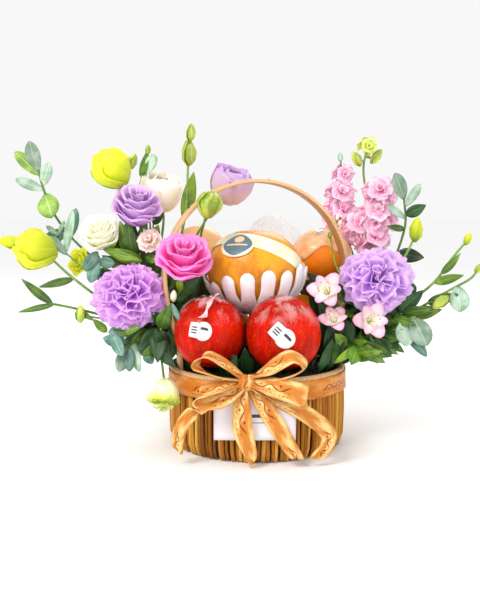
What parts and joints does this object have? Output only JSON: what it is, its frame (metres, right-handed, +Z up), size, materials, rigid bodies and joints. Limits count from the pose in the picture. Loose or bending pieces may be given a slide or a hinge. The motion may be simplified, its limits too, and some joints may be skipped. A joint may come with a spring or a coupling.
{
  "type": "fruit gift basket",
  "caption": "Round reed basket with a bent strip handle, filled with fruit between two bunches of cut flowers, with a ribbon bow and a blank card on its front.",
  "frame": {"origin": "centre of the basket's bottom", "axes": "+Z up, +Y to the back, so the bow and card face -Y, and +X to the viewer's right"},
  "size_m": [0.5351, 0.2651, 0.3524],
  "materials": {
    "reeds": "dry satin",
    "handle": "satin",
    "packing": "matte",
    "apple_skin": "glossy",
    "pear_skin": "satin",
    "orange_peel": "satin",
    "foam": "matte",
    "satin": "satin",
    "paper": "matte",
    "label": "satin",
    "clear_wrap": "glossy",
    "leaf": "satin",
    "sage_leaf": "matte",
    "lilac_petal": "matte",
    "pink_petal": "matte",
    "blush_petal": "matte",
    "cream_petal": "matte",
    "yellow_petal": "matte"
  },
  "bodies": {
    "root": {"basket": "reeds", "filling": "packing", "handle": "handle", "apple_left": "apple_skin", "apple_right": "apple_skin", "pear": "pear_skin", "foam_cup": "foam", "orange_right": "orange_peel", "orange_left": "orange_peel", "orange_low_right": "orange_peel", "orange_low_left": "orange_peel", "label_apple_left": "paper", "label_apple_right": "paper", "label_pear": "label", "film_wrap": "clear_wrap", "ribbon_band": "satin", "ribbon_bow": "satin", "gift_card": "paper", "greenery_left": "leaf", "greenery_right": "leaf", "carnation_left": "lilac_petal", "rose_pink": "pink_petal", "rose_lavender": "lilac_petal", "lisianthus_white": "cream_petal", "rose_cream": "cream_petal", "lisianthus_yellow_top": "yellow_petal", "lisianthus_yellow_left": "yellow_petal", "lisianthus_yellow_mid": "yellow_petal", "lisianthus_green_hanging": "cream_petal", "bud_green_upper": "leaf", "lisianthus_lilac": "lilac_petal", "bud_tall": "leaf", "carnation_blush": "blush_petal", "eucalyptus_top_left": "sage_leaf", "lance_leaves_left": "leaf", "eucalyptus_low_left": "sage_leaf", "leaves_front_left": "leaf", "stock_pink_left": "pink_petal", "stock_pink_right": "pink_petal", "stock_green": "leaf", "carnation_right": "lilac_petal", "alstroemeria_upper": "blush_petal", "alstroemeria_middle": "blush_petal", "alstroemeria_lower": "blush_petal", "bud_yellow_right": "yellow_petal", "buds_upper_right": "leaf", "buds_far_right": "leaf", "eucalyptus_top_right": "sage_leaf", "eucalyptus_low_right": "sage_leaf", "leaves_front_right": "leaf", "foliage_rear_left": "leaf", "foliage_rear_right": "leaf"}
  },
  "joints": []
}
